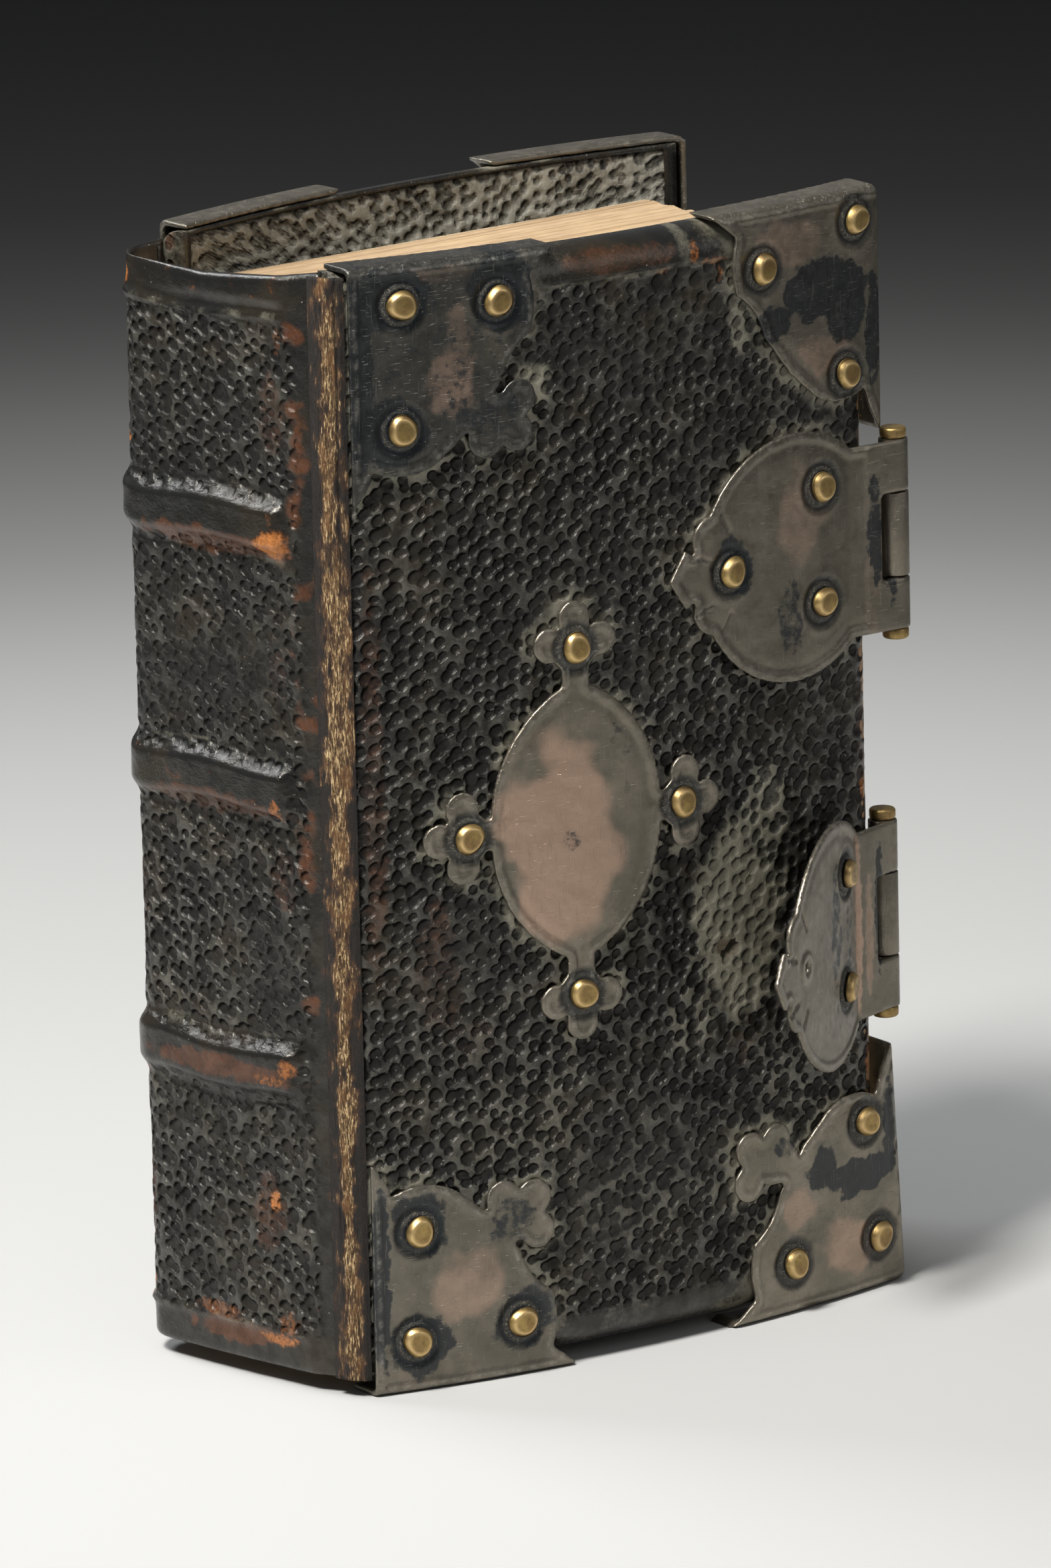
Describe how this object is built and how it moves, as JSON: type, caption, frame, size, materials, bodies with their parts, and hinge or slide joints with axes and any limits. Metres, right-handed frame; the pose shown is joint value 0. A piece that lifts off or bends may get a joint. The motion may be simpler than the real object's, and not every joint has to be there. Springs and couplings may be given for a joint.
{
  "type": "antique leather book",
  "caption": "Small thick leather-bound book with raised bands, riveted metal corners and centre plates, turning covers and hinged clasps.",
  "frame": {"origin": "on the surface that the book stands on, below the middle of its outline", "axes": "+X from the spine to the fore-edge, +Y from the front cover to the rear cover, +Z from tail to head"},
  "size_m": [0.0802, 0.0532, 0.11],
  "materials": {
    "black_leather": "worn grained",
    "tarnished_metal": "tarnished",
    "rivet_brass": "worn",
    "page_paper": "matte",
    "endpaper": "matte",
    "board_wood": "raw",
    "sewing_cord": "twisted",
    "headband_thread": "worn"
  },
  "bodies": {
    "block": {"text_block": "page_paper", "spine_leather": "black_leather", "sewing_cord_lower": "sewing_cord", "sewing_cord_middle": "sewing_cord", "sewing_cord_upper": "sewing_cord", "headband_head": "headband_thread", "headband_tail": "headband_thread"},
    "front_cover": {"front_board": "board_wood", "front_leather": "black_leather", "front_pastedown": "endpaper", "front_centre_plate": "tarnished_metal", "front_rivets_centre": "rivet_brass", "upper_clasp_plate": "tarnished_metal", "upper_clasp_rivets": "rivet_brass", "upper_clasp_pin": "rivet_brass", "lower_clasp_plate": "tarnished_metal", "lower_clasp_rivets": "rivet_brass", "lower_clasp_pin": "rivet_brass", "front_corner_tail_spine": "tarnished_metal", "front_rivets_tail_spine": "rivet_brass", "front_corner_tail_fore": "tarnished_metal", "front_rivets_tail_fore": "rivet_brass", "front_corner_head_spine": "tarnished_metal", "front_rivets_head_spine": "rivet_brass", "front_corner_head_fore": "tarnished_metal", "front_rivets_head_fore": "rivet_brass"},
    "rear_cover": {"rear_board": "board_wood", "rear_leather": "black_leather", "rear_pastedown": "endpaper", "rear_centre_plate": "tarnished_metal", "rear_rivets_centre": "rivet_brass", "upper_catch": "tarnished_metal", "upper_catch_rivets": "rivet_brass", "lower_catch": "tarnished_metal", "lower_catch_rivets": "rivet_brass", "rear_corner_tail_spine": "tarnished_metal", "rear_rivets_tail_spine": "rivet_brass", "rear_corner_tail_fore": "tarnished_metal", "rear_rivets_tail_fore": "rivet_brass", "rear_corner_head_spine": "tarnished_metal", "rear_rivets_head_spine": "rivet_brass", "rear_corner_head_fore": "tarnished_metal", "rear_rivets_head_fore": "rivet_brass"},
    "upper_arm": {"upper_clasp_arm": "tarnished_metal"},
    "lower_arm": {"lower_clasp_arm": "tarnished_metal"}
  },
  "joints": [
    {"name": "front_cover_hinge", "type": "hinge", "parent": "block", "child": "front_cover", "pos_m": [-0.03234, -0.01097, 0.0544], "axis": [0, 0, -1], "range_deg": [0, 160]},
    {"name": "rear_cover_hinge", "type": "hinge", "parent": "block", "child": "rear_cover", "pos_m": [-0.03228, 0.01887, 0.0544], "axis": [0, 0, 1], "range_deg": [0, 130]},
    {"name": "upper_clasp_hinge", "type": "hinge", "parent": "front_cover", "child": "upper_arm", "pos_m": [0.03186, -0.01167, 0.0753], "axis": [0, 0, -1], "range_deg": [-12, 150]},
    {"name": "lower_clasp_hinge", "type": "hinge", "parent": "front_cover", "child": "lower_arm", "pos_m": [0.03106, -0.01007, 0.0371], "axis": [0, 0, -1], "range_deg": [-12, 150]}
  ]
}
